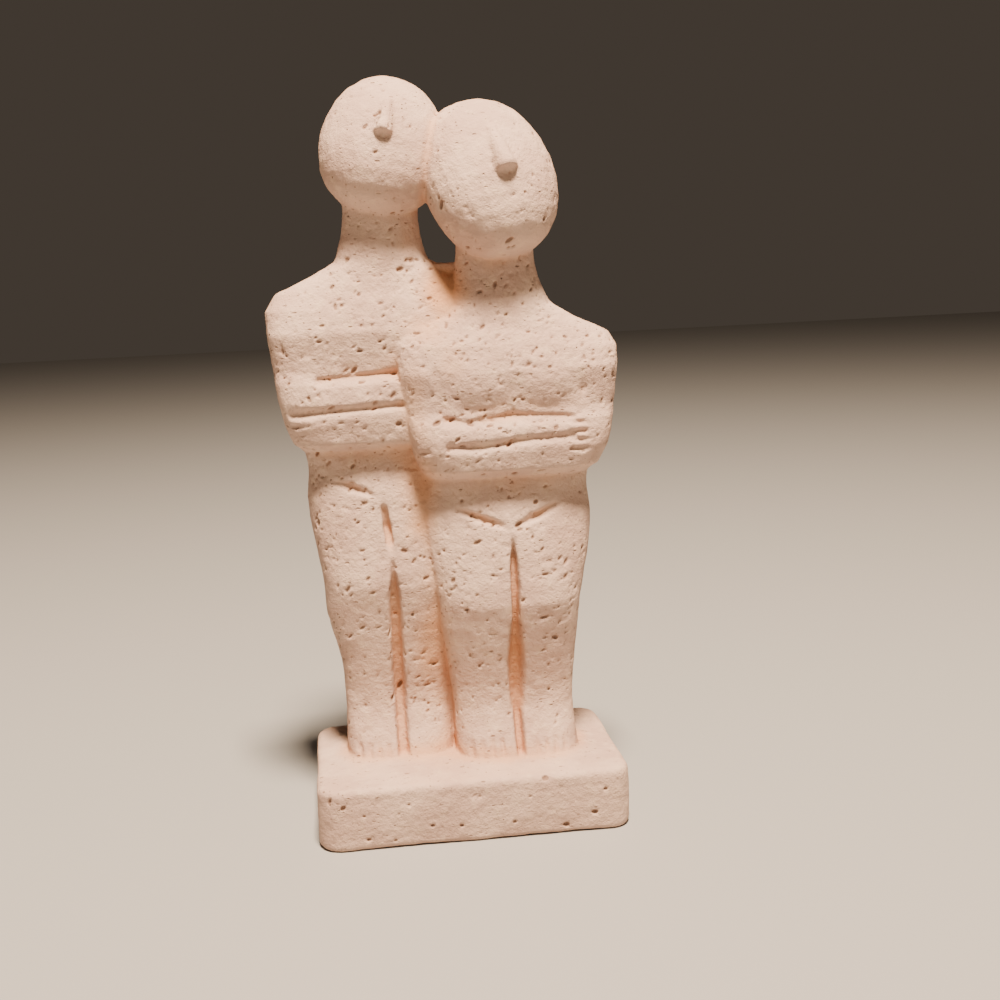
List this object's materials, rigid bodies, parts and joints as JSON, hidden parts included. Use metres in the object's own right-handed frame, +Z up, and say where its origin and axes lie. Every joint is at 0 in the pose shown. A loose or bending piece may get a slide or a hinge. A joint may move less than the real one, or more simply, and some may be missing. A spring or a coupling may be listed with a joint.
{
  "type": "cycladic figurine",
  "caption": "Cast-stone figurine of a man and a woman standing close together with folded arms, carved in the plain Cycladic manner, in one piece with their base.",
  "frame": {"origin": "middle of the flat underside of the base", "axes": "+Z up, the figures face -Y, +X from the man towards the woman"},
  "size_m": [0.0928, 0.0506, 0.2004],
  "materials": {
    "cast_stone": "matt, porous, with peach staining in the hollows"
  },
  "bodies": {
    "root": {"figurine": "cast_stone"}
  },
  "joints": []
}
